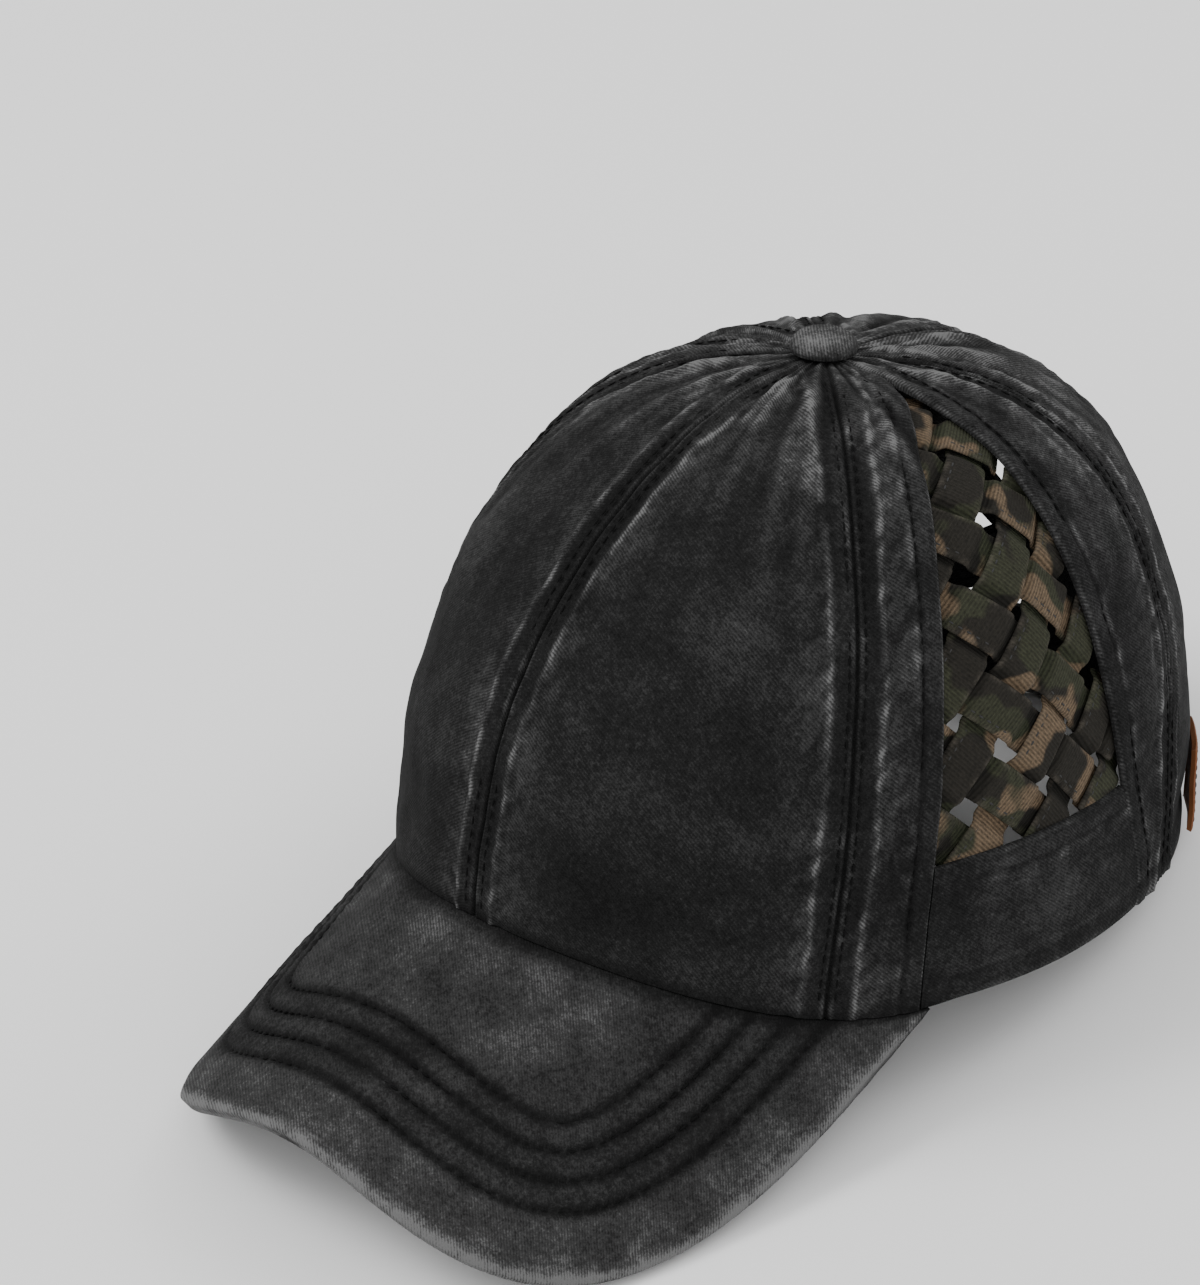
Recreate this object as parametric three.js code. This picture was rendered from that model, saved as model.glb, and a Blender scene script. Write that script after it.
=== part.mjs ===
// A six-panel baseball cap with an open back for a ponytail, woven side windows and a curved visor.
// Millimetres. The wearer faces -Y, their left side is +X, and +Z is up.
import * as THREE from "three";
import { mergeVertices } from "three/addons/utils/BufferGeometryUtils.js";

const degrees = Math.PI / 180;

// Crown
const crownHalfWidth = 86;
const crownHalfLength = 100;
const crownHeight = 116;
const buttonSetback = 4.3; // the button sits this far behind the middle
const rimRoundness = 1.89; // 2 is an ellipse, more is squarer
const crownRoundness = { front: 2.02, side: 2.56, rear: 2.74 };
const rimWave = 1.7; // the rim rises this much between the visor and the back
const clothThickness = 1.6;
const seamGap = 0.3;
const layerGap = 0.4;
const crownHoleRadius = 2.6; // the panels' tips end here, under the button

// Seams
const ridgeHeight = 0.7;
const ridgeOffset = 6.5; // each seam has a worn ridge this far to either side
const ridgeSpread = 2.6;
const seamDip = 0.6;
const seamDipSpread = 2.2;

// Side window with its woven straps
const bandHeight = 33; // the cloth band below the window
const bandLower = 0.3; // the band lies this far below the folded strips at its ends
const bandGap = 1.2;
const wovenWidth = 11.2;
const wovenPitch = 14.4;
const wovenThickness = 1.0;
const wovenTuck = 4; // strap ends run this far under the cloth
const wovenBulge = 2.2;
const windowMiddleTurn = 86 * degrees;
const shortestWoven = 12;

// Back slit with its elastic straps
const slitTopShare = 0.797;
const elasticWidth = 12.5;
const elasticThickness = 1.0;
const elasticTuck = 5;
const elasticBow = 1.2; // where two straps cross, each gives way by this much
const elasticEase = 0.5; // room for the curve of the crown across the strap's width

// Closure at the bottom of the slit
const closureHeight = 21;
const closureTapeRise = 3; // the fuzzy tape starts this far above the rim
const closureTapeHeight = 23;
const closureTapeThickness = 1.2;
const closureTuck = 12; // the strap and the tape run this far under the panels that hold them
const closureTapeEndGap = 7;
const closureEndGap = 1.2;

// Inside band and tag
const sweatbandHeight = 23;
const sweatbandThickness = 1.2;
const sweatbandRise = 1;
const sweatbandEndGap = 1; // it ends this far before the closure's sewn ends
const tagWidth = 19;
const tagHeight = 21;
const tagThickness = 1.3;
const tagOverhang = 1;
const tagTurn = 138.5 * degrees;

// Button
const buttonRadius = 7.8;
const buttonHeight = 4.6;

// Visor
const visorLength = 54; // from the crown's front to the tip, seen from above
const visorHalfWidth = 79;
const visorSquareness = 3;
const visorSlope = 32.2 * degrees;
const visorCamber = 53.7; // how far the sides hang below the middle at the full width
const visorFrontHeight = 9.6; // the rim's height where the visor meets the front seam
const visorEndShare = 0.388; // the visor ends at this share of the crown's half length
const visorEndDepth = 2;
const visorClothThickness = 1.9;

// Rest: the back of the rim and both sides of the visor stand on the ground
const restPress = 1.0; // the soft rim is flattened this much at the back

// Edges that run up the crown: "up" is the share of the way from the rim to the button, "turn" the
// angle round the head from the front, in degrees.
const sideSeam = [
  { up: 0, turn: 53 }, { up: 0.15, turn: 55.2 }, { up: 0.4, turn: 56.9 }, { up: 0.7, turn: 57 },
  { up: 1, turn: 57.5 },
];
const backSeam = [
  { up: 0, turn: 116.5 }, { up: 0.1, turn: 118 }, { up: 0.25, turn: 121 }, { up: 0.5, turn: 126 },
  { up: 0.75, turn: 129 }, { up: 1, turn: 130 },
];
const windowFront = [
  { up: 0, turn: 65.8 }, { up: 0.15, turn: 67.8 }, { up: 0.33, turn: 69.8 }, { up: 0.48, turn: 71.4 },
  { up: 0.62, turn: 74.2 }, { up: 0.75, turn: 78.5 }, { up: 0.85, turn: 88 }, { up: 0.9, turn: 97 },
  { up: 1, turn: 97.5 },
];
const windowBack = [
  { up: 0, turn: 108.6 }, { up: 0.07, turn: 105 }, { up: 0.14, turn: 103 }, { up: 0.25, turn: 101.4 },
  { up: 0.45, turn: 100.6 }, { up: 0.7, turn: 100.6 }, { up: 0.9, turn: 97 }, { up: 1, turn: 97.5 },
];
// The slit's half-angle: "up" is the share of the slit's own height, "turn" is measured from the back.
const slitEdge = [
  { up: 0, turn: 26 }, { up: 0.14, turn: 23.5 }, { up: 0.24, turn: 21 }, { up: 0.36, turn: 18 },
  { up: 0.53, turn: 15 }, { up: 0.73, turn: 11 }, { up: 0.9, turn: 5.5 }, { up: 1, turn: 0 },
];
// The elastic straps: the shares of the way up where each leaves the left and the right slit edge.
const elasticStraps = [
  { name: "elastic_strap_upper_over", left: 0.6, right: 0.356, layer: 0 },
  { name: "elastic_strap_upper_under", left: 0.374, right: 0.58, layer: 1 },
  { name: "elastic_strap_lower_over", left: 0.308, right: 0.098, layer: 0 },
  { name: "elastic_strap_lower_under", left: 0.088, right: 0.306, layer: 1 },
];

const colours = {
  twill: 0x343536, twillWorn: 0x505151, woven: 0x45433a, elastic: 0x1b1b1b, lining: 0x141415,
  tape: 0x0f0f10, leather: 0x7a4a30,
};

const power = (value, exponent) => Math.sign(value) * Math.abs(value) ** exponent;
const mix = (a, b, share) => a + (b - a) * share;
const clamp = (value, low, high) => Math.min(Math.max(value, low), high);
const smooth = (share) => { const s = clamp(share, 0, 1); return s * s * (3 - 2 * s); };
const wrap = (turn) => Math.atan2(Math.sin(turn), Math.cos(turn));

// Reads an edge table at a share of the way up, in radians.
function turnAt(table, up) {
  const next = table.findIndex((row) => row.up >= up);
  if (next <= 0) return table[next < 0 ? table.length - 1 : 0].turn * degrees;
  const low = table[next - 1], high = table[next];
  return mix(low.turn, high.turn, (up - low.up) / (high.up - low.up)) * degrees;
}

const slitHalfTurn = (up) => up >= slitTopShare ? 0 : turnAt(slitEdge, up / slitTopShare);

// The visor's upper face, as a height over any point of the plan.
function visorHeight(x, y) {
  const forward = -y - crownHalfLength;
  return visorFrontHeight - Math.tan(visorSlope) * forward - visorCamber * (x / visorHalfWidth) ** 2;
}

const visorEndTurn = Math.acos(visorEndShare);
const planRim = (turn) => [
  crownHalfWidth * power(Math.sin(turn), 2 / rimRoundness),
  -crownHalfLength * power(Math.cos(turn), 2 / rimRoundness),
];
const visorEndHeight = visorHeight(...planRim(visorEndTurn));

function rimPoint(turn) {
  const [x, y] = planRim(turn);
  const share = (Math.abs(wrap(turn)) - visorEndTurn) / (Math.PI - visorEndTurn);
  if (share < 0) return new THREE.Vector3(x, y, visorHeight(x, y));
  return new THREE.Vector3(x, y, visorEndHeight * (1 - share) ** 2 + rimWave * Math.sin(Math.PI * share));
}

function roundnessAt(turn) {
  const facing = Math.cos(turn), { front, side, rear } = crownRoundness;
  return side + ((facing > 0 ? front : rear) - side) * facing * facing;
}

// The crown's outer face without its seams.
function crownPoint(turn, up) {
  const rim = rimPoint(turn), exponent = 2 / roundnessAt(turn);
  const outward = Math.cos(up * Math.PI / 2) ** exponent, upward = Math.sin(up * Math.PI / 2) ** exponent;
  return new THREE.Vector3(
    rim.x * outward,
    mix(buttonSetback, rim.y, outward),
    mix(rim.z, crownHeight, upward),
  );
}

const step = 1e-4;
const acrossAt = (turn, up) =>
  crownPoint(turn + step, up).sub(crownPoint(turn - step, up)).divideScalar(2 * step);
const spreadAt = (turn, up) => acrossAt(turn, up).length(); // millimetres for each radian round the head
function crownNormal(turn, up) {
  const rise = crownPoint(turn, Math.min(up + step, 1)).sub(crownPoint(turn, Math.max(up - step, 0)));
  return acrossAt(turn, up).cross(rise).normalize();
}
const onCrown = (turn, up, out) => crownPoint(turn, up).addScaledVector(crownNormal(turn, up), out);

// The share of the way up at which the crown is a given height above its rim.
function upAtHeight(turn, height) {
  const share = clamp(height / (crownHeight - rimPoint(turn).z), 0, 1);
  return Math.asin(share ** (roundnessAt(turn) / 2)) / (Math.PI / 2);
}

// The share of the way up at which the crown has closed in to the hole under the button.
function upAtHole(turn) {
  const rim = rimPoint(turn);
  const share = crownHoleRadius / Math.hypot(rim.x, rim.y - buttonSetback);
  return Math.acos(share ** (roundnessAt(turn) / 2)) / (Math.PI / 2);
}

// Dips along the seams, with a ridge on either side; both fade out where the panels' tips meet.
function seamRelief(turn, up) {
  const spread = spreadAt(turn, up);
  const seams = [0, turnAt(sideSeam, up), turnAt(backSeam, up)];
  if (up > slitTopShare) seams.push(Math.PI);
  const away = Math.min(...seams.map((seam) => Math.abs(wrap(Math.abs(wrap(turn)) - seam)) * spread));
  const ridge = ridgeHeight * Math.exp(-(((away - ridgeOffset) / ridgeSpread) ** 2));
  const dip = seamDip * Math.exp(-((away / seamDipSpread) ** 2));
  return (ridge - dip) * clamp(spread / (3 * ridgeOffset), 0, 1);
}

// A closed sheet from a box: u runs round the head, v runs up, and w runs from the inner to the outer face.
function sheet(columns, rows, place) {
  const box = new THREE.BoxGeometry(1, 1, 1, columns, rows, 1);
  box.deleteAttribute("normal");
  box.deleteAttribute("uv");
  const geometry = mergeVertices(box), corner = geometry.attributes.position;
  for (let i = 0; i < corner.count; i++) {
    const point = place(corner.getX(i) + 0.5, corner.getY(i) + 0.5, corner.getZ(i) + 0.5);
    corner.setXYZ(i, point.x, point.y, point.z);
  }
  return geometry;
}

function mirrored(geometry) {
  const copy = geometry.clone().scale(-1, 1, 1), index = copy.index;
  for (let i = 0; i < index.count; i += 3) {
    const first = index.getX(i);
    index.setX(i, index.getX(i + 1));
    index.setX(i + 1, first);
  }
  return copy;
}

const towardsEdges = (share) => share - 0.58 * Math.sin(2 * Math.PI * share) / (2 * Math.PI);

// One crown panel between two edges, each given as a turn for a share of the way up.
function panel(columns, rows, from, to, top, lift = 0, gap = seamGap) {
  return sheet(columns, rows, (u, v, w) => {
    const middle = (from(v) + to(v)) / 2;
    const up = v * top(middle);
    const margin = gap / 2 / spreadAt(middle, up);
    const turn = mix(from(up) + margin, to(up) - margin, towardsEdges(u));
    const out = lift + seamRelief(turn, up) - (1 - w) * clothThickness;
    return onCrown(turn, up, out);
  });
}

// The ground: it passes under the visor's lowest edge and just above the rim's lowest point at the back.
const visorDepth = 2 * visorClothThickness + seamGap;
function visorPoint(side, root, depth) {
  const angle = side * Math.PI / 2;
  const edgeX = visorHalfWidth * power(Math.sin(angle), 2 / visorSquareness);
  const endY = crownHalfLength * visorEndShare + visorEndDepth;
  const reach = crownHalfLength + visorLength - endY;
  const edgeY = -endY - reach * Math.abs(Math.cos(angle)) ** (2 / visorSquareness);
  const [rimX, rimY] = planRim(side * visorEndTurn);
  const along = Math.min(root, 1), under = Math.max(root - 1, 0);
  const x = mix(edgeX, rimX, along), y = mix(edgeY, rimY, along);
  const point = new THREE.Vector3(x, y, visorHeight(x, y) - seamGap);
  const camberSlope = 2 * visorCamber * x / visorHalfWidth ** 2;
  const normal = new THREE.Vector3(camberSlope, -Math.tan(visorSlope), 1).normalize();
  const inward = crownNormal(side * visorEndTurn, 0).setZ(0).normalize();
  return point.addScaledVector(normal, -depth).addScaledVector(inward, -under);
}

const rimBack = rimPoint(Math.PI);
const groundBack = { y: rimBack.y, z: rimBack.z + restPress };
const visorEdgeSides = Array.from({ length: 61 }, (_, i) => i / 60);
const restTilt = Math.max(...visorEdgeSides.map((side) => {
  const low = visorPoint(side, 0, visorDepth);
  return Math.atan2(groundBack.z - low.z, groundBack.y - low.y);
}));
const groundAt = (y) => groundBack.z - (groundBack.y - y) * Math.tan(restTilt);
function flattenOnGround(point) {
  point.z = Math.max(point.z, groundAt(point.y));
  return point;
}

const cap = new THREE.Group();

function add(name, geometry, colour, roughness = 0.9) {
  const material = new THREE.MeshStandardMaterial({ color: colour, roughness, metalness: 0 });
  const mesh = new THREE.Mesh(geometry, material);
  mesh.name = name;
  cap.add(mesh);
}

function addPair(name, geometry, colour) {
  add(`${name}_left`, geometry, colour);
  add(`${name}_right`, mirrored(geometry), colour);
}

// Crown panels
const side = (up) => turnAt(sideSeam, up);
const back = (up) => turnAt(backSeam, up);
const foldFront = (up) => turnAt(windowFront, up);
const foldBack = (up) => turnAt(windowBack, up);
addPair("front_panel", panel(10, 14, () => 0, side, upAtHole), colours.twill);
addPair("front_side_strip", panel(4, 14, side, foldFront, upAtHole), colours.twill);
addPair("rear_side_strip", panel(4, 14, foldBack, back, upAtHole), colours.twill);
const slit = (up) => Math.PI - slitHalfTurn(up);
addPair("back_panel", panel(9, 15, back, slit, upAtHole), colours.twill);
const bandTop = (turn) => upAtHeight(turn, bandHeight);
addPair("lower_side_band", panel(6, 3, foldFront, foldBack, bandTop, -bandLower, bandGap), colours.twill);

// Button
function buttonGeometry() {
  const edge = buttonHeight * 0.45, profile = [new THREE.Vector2(0, 0), new THREE.Vector2(buttonRadius * 0.9, 0)];
  const arcSteps = 6;
  for (let i = 0; i <= arcSteps; i++) {
    const angle = i / arcSteps * Math.PI / 2;
    const radius = i === arcSteps ? 0 : buttonRadius * Math.cos(angle) ** 0.55;
    profile.push(new THREE.Vector2(radius, edge + (buttonHeight - edge) * Math.sin(angle)));
  }
  const turned = new THREE.LatheGeometry(profile, 20);
  turned.deleteAttribute("normal");
  turned.deleteAttribute("uv");
  const buttonSeat = crownHeight + 0.3 * ridgeHeight + seamGap;
  return mergeVertices(turned.rotateX(Math.PI / 2).translate(0, buttonSetback, buttonSeat));
}
add("button", buttonGeometry(), colours.twillWorn);

// Visor: two cloth covers, with a short lip under the crown's edge
const visorRows = 6;
function visorCover(outerDepth, innerDepth) {
  return sheet(22, visorRows, (u, v, w) => {
    const step = v * visorRows, lip = step > visorRows - 0.5 ? clothThickness : 0;
    const root = Math.min(step / (visorRows - 1), 1) + lip;
    return visorPoint(2 * u - 1, root, mix(innerDepth, outerDepth, w));
  });
}
add("visor_top_cover", visorCover(0, visorClothThickness), colours.twill);
add("visor_under_cover", visorCover(visorClothThickness + seamGap, visorDepth), colours.twill);

// Sweatband, from near one slit edge round the front to the other
const insideCrown = -clothThickness - layerGap - ridgeHeight;
const sweatbandTurn = Math.PI - slitHalfTurn(0) - (closureTuck + sweatbandEndGap) / spreadAt(Math.PI, 0);
const sweatband = sheet(40, 2, (u, v, w) => {
  const turn = mix(-sweatbandTurn, sweatbandTurn, u);
  const up = upAtHeight(turn, sweatbandRise + v * sweatbandHeight);
  return onCrown(turn, up, insideCrown - (1 - w) * sweatbandThickness);
});
add("sweatband", sweatband, colours.lining);

// Closure: the strap leaves from under the left panel and ends at the right panel's edge
const rimSpread = spreadAt(Math.PI, 0);
const leftEdge = (up) => Math.PI - slitHalfTurn(up);
const rightEdge = (up) => Math.PI + slitHalfTurn(up);
const closureOut = (turn, up) =>
  mix(insideCrown, 0, smooth((turn - leftEdge(up)) * rimSpread / (2 * closureTuck)));
const closureStrap = sheet(14, 2, (u, v, w) => {
  const up = upAtHeight(Math.PI, v * closureHeight);
  const turn = mix(leftEdge(up) - closureTuck / rimSpread, rightEdge(up) - closureEndGap / rimSpread, u);
  const out = closureOut(turn, up) - (1 - w) * clothThickness;
  return flattenOnGround(onCrown(turn, upAtHeight(turn, v * closureHeight), out));
});
add("closure_strap", closureStrap, colours.twill);

// The tape lies on the strap's inside, and goes under the elastic's end and the right panel.
const tapeUnder = insideCrown - elasticEase - elasticThickness - 2 * elasticBow - 2 * layerGap;
const closureTape = sheet(14, 2, (u, v, w) => {
  const height = closureTapeRise + v * closureTapeHeight, up = upAtHeight(Math.PI, height);
  const turn = mix(leftEdge(up) + closureTapeEndGap / rimSpread, rightEdge(up) + closureTuck / rimSpread, u);
  const before = (rightEdge(up) - turn) * rimSpread / (2 * closureTuck);
  const face = mix(tapeUnder, closureOut(turn, up) - clothThickness - layerGap, smooth(before));
  return onCrown(turn, upAtHeight(turn, height), face - (1 - w) * closureTapeThickness);
});
add("closure_tape", closureTape, colours.tape, 1);

// Elastic straps: straight bands stretched across the slit
function elasticStrap({ left, right, layer }) {
  const depth = insideCrown - elasticEase - elasticThickness / 2 - layer * (elasticThickness + layerGap);
  const end = (up, sign) => {
    const edge = slitHalfTurn(up) + elasticTuck / spreadAt(Math.PI, up);
    return onCrown(Math.PI - sign * edge, up, depth);
  };
  const start = end(left, 1), stop = end(right, -1);
  const along = stop.clone().sub(start).normalize();
  const middleUp = (left + right) / 2;
  const out = crownNormal(Math.PI, middleUp);
  const across = along.clone().cross(out).negate().normalize();
  const face = along.clone().cross(across).normalize();
  const bow = layer === 0 ? elasticBow : -elasticBow;
  return sheet(8, 1, (u, v, w) => start.clone().lerp(stop, u)
    .addScaledVector(across, (v - 0.5) * elasticWidth)
    .addScaledVector(face, (w - 0.5) * elasticThickness + bow * Math.sin(Math.PI * u)));
}
for (const strap of elasticStraps) add(strap.name, elasticStrap(strap), colours.elastic, 0.8);

// Tag
const tag = sheet(3, 3, (u, v, w) => {
  const turn = tagTurn + (u - 0.5) * tagWidth / spreadAt(tagTurn, 0);
  const up = upAtHeight(turn, v * (tagHeight - tagOverhang));
  const point = onCrown(turn, up, seamGap + ridgeHeight + w * tagThickness);
  point.z -= tagOverhang * (1 - v);
  return point;
});
add("leather_tag", tag, colours.leather, 0.6);

// Woven straps: laid out flat, with "across" millimetres round the head from the window's middle line
// and "length" millimetres up that line, and then wrapped on to the crown.
const climbSteps = 200;
const climb = [0];
for (let i = 1; i <= climbSteps; i++) {
  const low = crownPoint(windowMiddleTurn, (i - 1) / climbSteps);
  climb.push(climb[i - 1] + low.distanceTo(crownPoint(windowMiddleTurn, i / climbSteps)));
}
function upAtLength(length) {
  const next = clamp(climb.findIndex((total) => total >= length), 1, climbSteps);
  return (next - 1 + (length - climb[next - 1]) / (climb[next] - climb[next - 1])) / climbSteps;
}
const lengthAt = (up) => mix(climb[Math.floor(up * climbSteps)], climb[Math.ceil(up * climbSteps)],
  up * climbSteps % 1);
const windowBottom = lengthAt(upAtHeight(windowMiddleTurn, bandHeight));
const windowTopUp = 0.88;
const windowTop = lengthAt(windowTopUp);

// The window's edges at a length, as millimetres from its middle line.
function windowEdges(length) {
  const up = upAtLength(length), spread = spreadAt(windowMiddleTurn, up);
  return [foldFront(up), foldBack(up)].map((turn) => (turn - windowMiddleTurn) * spread);
}

function wovenPoint(across, length, out) {
  const up = upAtLength(length), [front, rear] = windowEdges(length);
  const sideways = 2 * (across - front) / (rear - front) - 1;
  const upwards = 2 * (length - windowBottom) / (windowTop - windowBottom) - 1;
  const pillow = (share) => Math.max(1 - share * share, 0) ** 2;
  const bulge = rear > front ? wovenBulge * pillow(sideways) * pillow(upwards) : 0;
  const turn = windowMiddleTurn + across / spreadAt(windowMiddleTurn, up);
  return onCrown(turn, up, out + bulge);
}

const wovenLift = (wovenThickness + layerGap) / 2;
const wovenBase = -clothThickness - seamGap - ridgeHeight - wovenThickness - layerGap / 2;
const diagonal = Math.SQRT1_2;
const wovenOrigin = windowBottom * diagonal;

// A strap of the rising family keeps one "fall" value, and one of the falling family keeps one "rise" value.
function wovenStrap(rising, number) {
  const fixed = wovenOrigin + number * wovenPitch;
  const flat = (along, sideways) => {
    const rise = rising ? along : fixed + sideways, fall = rising ? fixed - sideways : along;
    return [(rise - fall) * diagonal, (rise + fall) * diagonal];
  };
  const inside = (along) => {
    const [across, length] = flat(along, 0), [front, rear] = windowEdges(length);
    return length > windowBottom - wovenTuck && length < windowTop
      && across > front - wovenTuck && across < rear + wovenTuck;
  };
  const scanStep = 0.5;
  const reach = Array.from({ length: Math.ceil(2 * windowTop / scanStep) }, (_, i) => i * scanStep)
    .map((along) => along - windowTop / 2).filter(inside);
  const start = reach[0], stop = reach[reach.length - 1];
  if (!(stop - start > shortestWoven)) return null;
  const stations = [start, stop];
  for (let crossing = -20; crossing <= 20; crossing++) {
    const middle = wovenOrigin + crossing * wovenPitch;
    stations.push(middle - wovenWidth / 2, middle, middle + wovenWidth / 2);
  }
  const kept = stations.filter((along) => along >= start && along <= stop).sort((a, b) => a - b)
    .filter((along, i, all) => i === 0 || along - all[i - 1] > layerGap);
  const parity = (number % 2 === 0 ? 1 : -1) * (rising ? 1 : -1);
  const steepness = 1 / Math.cos(Math.PI * wovenWidth / 2 / wovenPitch);
  return sheet(2, kept.length - 1, (u, v, w) => {
    const along = kept[Math.round(v * (kept.length - 1))];
    const wave = clamp(steepness * Math.cos(Math.PI * (along - wovenOrigin) / wovenPitch), -1, 1);
    const [across, length] = flat(along, (u - 0.5) * wovenWidth);
    const out = wovenBase + parity * wovenLift * wave + (w - 0.5) * wovenThickness;
    return wovenPoint(across, length, out);
  });
}

for (const rising of [true, false]) {
  let count = 0;
  for (let number = -8; number <= 12; number++) {
    const geometry = wovenStrap(rising, number);
    if (geometry) addPair(`woven_strap_${rising ? "rising" : "falling"}_${++count}`, geometry, colours.woven);
  }
}

// The cap stands on its visor's sides and the back of its rim, with the origin in the middle of its underside.
cap.rotation.x = -restTilt;
cap.updateMatrixWorld(true);
const bounds = new THREE.Box3().setFromObject(cap, true);
const middle = bounds.getCenter(new THREE.Vector3());
cap.position.set(-middle.x, -middle.y, -bounds.min.z);
cap.updateMatrixWorld(true);

export default cap;
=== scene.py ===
import math
import random
import bmesh
import bpy
import numpy as np
from mathutils import Matrix, Vector


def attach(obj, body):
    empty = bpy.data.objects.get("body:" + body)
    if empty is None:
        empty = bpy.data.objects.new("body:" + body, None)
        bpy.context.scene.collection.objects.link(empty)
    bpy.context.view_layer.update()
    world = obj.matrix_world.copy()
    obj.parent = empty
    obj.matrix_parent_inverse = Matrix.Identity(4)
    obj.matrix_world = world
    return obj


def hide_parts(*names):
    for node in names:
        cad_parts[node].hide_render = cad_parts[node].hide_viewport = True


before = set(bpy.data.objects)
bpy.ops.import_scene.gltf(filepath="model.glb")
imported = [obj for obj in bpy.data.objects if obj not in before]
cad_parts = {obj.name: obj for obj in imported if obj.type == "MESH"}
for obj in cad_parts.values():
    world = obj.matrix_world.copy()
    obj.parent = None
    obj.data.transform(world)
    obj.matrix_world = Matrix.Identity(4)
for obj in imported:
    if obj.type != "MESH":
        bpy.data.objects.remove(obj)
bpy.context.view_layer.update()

# The cap is worked out in its own crown frame, in millimetres: the rim's back lies at height 0,
# -Y is the front and +X the wearer's left. The last step tilts it on to the floor, in metres.
rest = {"tilt": math.radians(12.335), "y": 26.948, "z": 20.386, "least": 0.02}
crown = {
    "halfWidth": 86.0, "halfLength": 100.0, "height": 116.0, "setback": 4.3, "rimRoundness": 1.89,
    "front": 2.02, "side": 2.56, "rear": 2.74, "rimWave": 1.7, "wall": 1.5, "holeRadius": 2.0,
}
visor = {
    "length": 54.0, "halfWidth": 79.0, "squareness": 3.0, "slope": math.tan(math.radians(32.2)), "camber": 53.7,
    "frontHeight": 9.6, "endShare": 0.388, "endDepth": 2.0, "wall": 1.8, "gap": 0.3,
}
sideSeam = {"up": [0, .15, .4, .7, 1], "turn": [53, 55.2, 56.9, 57, 57.5]}
backSeam = {"up": [0, .1, .25, .5, .75, 1], "turn": [116.5, 118, 121, 126, 129, 130]}
windowFront = {
    "up": [0, .15, .33, .48, .62, .75, .85, .9, 1],
    "turn": [65.8, 67.8, 69.8, 71.4, 74.2, 78.5, 88, 97, 97.5],
}
windowBack = {
    "up": [0, .07, .14, .25, .45, .7, .9, 1],
    "turn": [108.6, 105, 103, 101.4, 100.6, 100.6, 97, 97.5],
}
slit = {"top": .797, "up": [0, .14, .24, .36, .53, .73, .9, 1], "turn": [26, 23.5, 21, 18, 15, 11, 5.5, 0]}
seamSoftening = (-.04, -.02, 0, .02, .04)  # a seam's turn is the mean of its table this far up and down
wandering = {"waves": 7, "least": .6, "most": 1.5, "calm": 2.6}
halfPi = math.pi / 2


def power(value, exponent):
    return np.sign(value) * np.abs(value) ** exponent


def mix(a, b, share):
    return a + (b - a) * share


def smooth(share):
    s = np.clip(share, 0, 1)
    return s * s * (3 - 2 * s)


def hump(value, width):
    return np.exp(-(value / width) ** 2)


# 1 at a cloth's edge, falling to 0 where the roll of the edge ends.
def rolled(away, radius):
    return np.clip(1 - away / radius, 0, 1) ** 2


# Moves a grid's columns towards its two edges.
def gathered(share, amount):
    return share - amount * np.sin(math.tau * share) / math.tau


# Puckers along a row of stitches, 0 to 1.
def bunched(along, pitch, sway):
    return 0.5 + 0.5 * np.sin(math.tau * along / pitch + sway)


def unit(vectors):
    return vectors / np.maximum(np.linalg.norm(vectors, axis=-1, keepdims=True), 1e-12)


def lengthsAlong(path):
    return np.concatenate([[0], np.cumsum(np.linalg.norm(np.diff(path, axis=0), axis=1))])


def flatMap(across, along):
    return np.stack([across, along, 0 * along], -1)


def wrap(turn):
    return np.arctan2(np.sin(turn), np.cos(turn))


def turnAt(table, up):
    soft = [np.interp(up + shift, table["up"], table["turn"]) for shift in seamSoftening]
    return np.radians(sum(soft) / len(soft))


def slitHalfTurn(up):
    share = up / slit["top"]
    return np.where(share >= 1, 0, np.radians(np.interp(share, slit["up"], slit["turn"])))


def visorHeight(x, y):
    forward = -y - crown["halfLength"]
    return visor["frontHeight"] - visor["slope"] * forward - visor["camber"] * (x / visor["halfWidth"]) ** 2


def planRim(turn):
    exponent = 2 / crown["rimRoundness"]
    x = crown["halfWidth"] * power(np.sin(turn), exponent)
    return x, -crown["halfLength"] * power(np.cos(turn), exponent)


visorEndTurn = math.acos(visor["endShare"])
visorEndHeight = float(visorHeight(*planRim(np.array(visorEndTurn))))


def rimHeight(turn):
    x, y = planRim(turn)
    share = (np.abs(wrap(turn)) - visorEndTurn) / (math.pi - visorEndTurn)
    past = np.maximum(share, 0)
    rear = visorEndHeight * (1 - past) ** 2 + crown["rimWave"] * np.sin(math.pi * past)
    return np.where(share < 0, visorHeight(x, y), rear)


def roundnessAt(turn):
    facing = np.cos(turn)
    return crown["side"] + (np.where(facing > 0, crown["front"], crown["rear"]) - crown["side"]) * facing ** 2


def crownPoint(turn, up):
    x, y = planRim(turn)
    low, exponent = rimHeight(turn), 2 / roundnessAt(turn)
    outward = np.maximum(np.cos(up * halfPi), 0) ** exponent
    upward = np.maximum(np.sin(up * halfPi), 0) ** exponent
    return np.stack([x * outward, mix(crown["setback"], y, outward), mix(low, crown["height"], upward)], -1)


def acrossAt(turn, up, step=1e-4):
    return (crownPoint(turn + step, up) - crownPoint(turn - step, up)) / (2 * step)


def spreadAt(turn, up):
    return np.linalg.norm(acrossAt(turn, up), axis=-1)


def crownNormal(turn, up, step=1e-4):
    rise = crownPoint(turn, np.minimum(up + step, 1)) - crownPoint(turn, np.maximum(up - step, 0))
    return unit(np.cross(acrossAt(turn, up), rise))


def onCrown(turn, up, out):
    return crownPoint(turn, up) + crownNormal(turn, up) * np.asarray(out)[..., None]


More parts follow.
